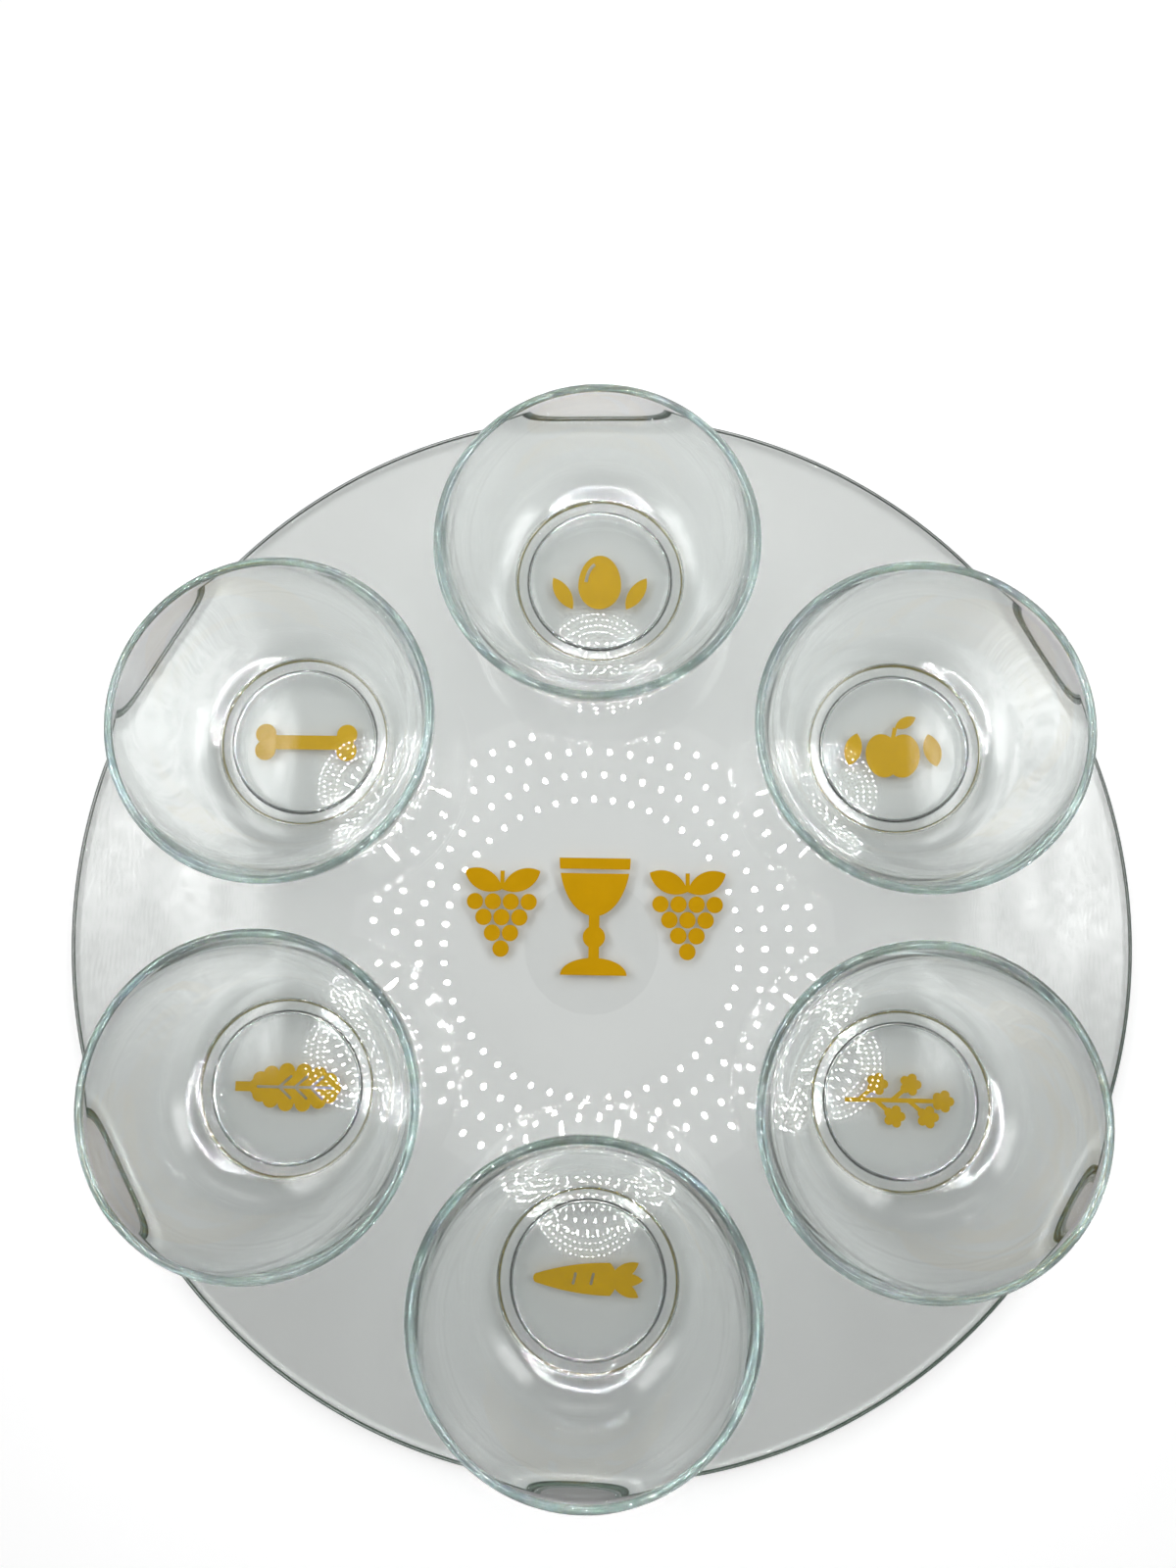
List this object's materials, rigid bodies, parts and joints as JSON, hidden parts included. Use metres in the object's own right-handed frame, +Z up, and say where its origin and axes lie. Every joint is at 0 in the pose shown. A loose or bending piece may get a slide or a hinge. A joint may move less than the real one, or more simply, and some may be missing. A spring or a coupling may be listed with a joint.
{
  "type": "seder plate",
  "caption": "Round flat clear glass seder plate carrying a ring of loose footed glass bowls, each over a gold film emblem of its food, with a larger gold emblem at the centre.",
  "frame": {"origin": "centre of the plate's flat underside, on the table", "axes": "+Z up out of the plate; +Y to the egg bowl, the far side in the picture; +X to the right in the picture"},
  "size_m": [0.3999, 0.4, 0.058],
  "materials": {
    "plate_glass": "polished clear float glass",
    "bowl_glass": "fire-polished clear pressed glass",
    "gold_film": "satin gold film"
  },
  "bodies": {
    "plate": {"plate": "plate_glass", "emblem_centre": "gold_film", "emblem_egg": "gold_film", "emblem_haroset": "gold_film", "emblem_karpas": "gold_film", "emblem_horseradish": "gold_film", "emblem_lettuce": "gold_film", "emblem_shank_bone": "gold_film"},
    "egg_bowl": {"bowl_egg": "bowl_glass"},
    "haroset_bowl": {"bowl_haroset": "bowl_glass"},
    "karpas_bowl": {"bowl_karpas": "bowl_glass"},
    "horseradish_bowl": {"bowl_horseradish": "bowl_glass"},
    "lettuce_bowl": {"bowl_lettuce": "bowl_glass"},
    "shank_bone_bowl": {"bowl_shank_bone": "bowl_glass"}
  },
  "joints": [
    {"name": "egg_bowl_lift", "type": "slide", "parent": "plate", "child": "egg_bowl", "axis": [0, 0, 1], "range_m": [0, 0.12]},
    {"name": "haroset_bowl_lift", "type": "slide", "parent": "plate", "child": "haroset_bowl", "axis": [0, 0, 1], "range_m": [0, 0.12]},
    {"name": "karpas_bowl_lift", "type": "slide", "parent": "plate", "child": "karpas_bowl", "axis": [0, 0, 1], "range_m": [0, 0.12]},
    {"name": "horseradish_bowl_lift", "type": "slide", "parent": "plate", "child": "horseradish_bowl", "axis": [0, 0, 1], "range_m": [0, 0.12]},
    {"name": "lettuce_bowl_lift", "type": "slide", "parent": "plate", "child": "lettuce_bowl", "axis": [0, 0, 1], "range_m": [0, 0.12]},
    {"name": "shank_bone_bowl_lift", "type": "slide", "parent": "plate", "child": "shank_bone_bowl", "axis": [0, 0, 1], "range_m": [0, 0.12]}
  ]
}
